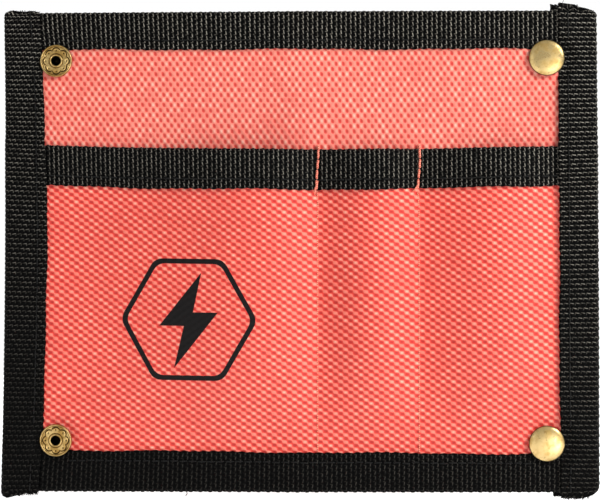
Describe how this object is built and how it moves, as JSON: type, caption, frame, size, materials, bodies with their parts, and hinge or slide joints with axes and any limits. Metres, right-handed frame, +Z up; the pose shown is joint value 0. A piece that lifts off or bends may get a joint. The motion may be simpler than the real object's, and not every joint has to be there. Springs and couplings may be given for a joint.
{
  "type": "electrician tool pouch",
  "caption": "Flat cloth tool pouch with open pockets, webbing bindings and press studs, which folds back round a belt, strap or rail and snaps shut.",
  "frame": {"origin": "on the vertical fold line, midway between the upper and lower press studs; the fold line is midway between the two columns of press studs and behind the back panels by half of the closed pouch's inner gap", "axes": "+X across the pouch towards the caps, +Y out of its back, +Z up, the way the pockets open"},
  "size_m": [0.208, 0.0134, 0.1713],
  "materials": {
    "cloth": "coated ballistic weave",
    "webbing": "woven polypropylene tape",
    "black_thread": "polyester thread",
    "red_thread": "polyester thread",
    "antique_brass": "brushed antique brass",
    "spring_wire": "drawn wire"
  },
  "bodies": {
    "right_half": {"back_panel_right": "cloth", "bottom_binding_right": "webbing", "bottom_stitching_right": "black_thread", "inner_divider_stitching": "red_thread", "lower_cap": "antique_brass", "lower_cap_post": "antique_brass", "lower_socket_base": "antique_brass", "lower_socket_drum": "antique_brass", "lower_socket_spring": "spring_wire", "mouth_binding_right": "webbing", "mouth_stitching_right": "black_thread", "outer_divider_stitching": "red_thread", "pocket_panel_right": "cloth", "right_binding": "webbing", "right_stitching": "black_thread", "top_binding_right": "webbing", "top_stitching_right": "black_thread", "upper_cap": "antique_brass", "upper_cap_post": "antique_brass", "upper_socket_base": "antique_brass", "upper_socket_drum": "antique_brass", "upper_socket_spring": "spring_wire"},
    "left_half": {"back_panel_left": "cloth", "bottom_binding_left": "webbing", "bottom_stitching_left": "black_thread", "left_binding": "webbing", "left_stitching": "black_thread", "lower_eyelet": "antique_brass", "lower_stud": "antique_brass", "mouth_binding_left": "webbing", "mouth_stitching_left": "black_thread", "pocket_panel_left": "cloth", "top_binding_left": "webbing", "top_stitching_left": "black_thread", "upper_eyelet": "antique_brass", "upper_stud": "antique_brass"}
  },
  "joints": [
    {"name": "wrap_fold", "type": "hinge", "parent": "right_half", "child": "left_half", "pos_m": [0, 0, 0], "axis": [0, 0, -1], "range_deg": [0, 179.9]}
  ]
}
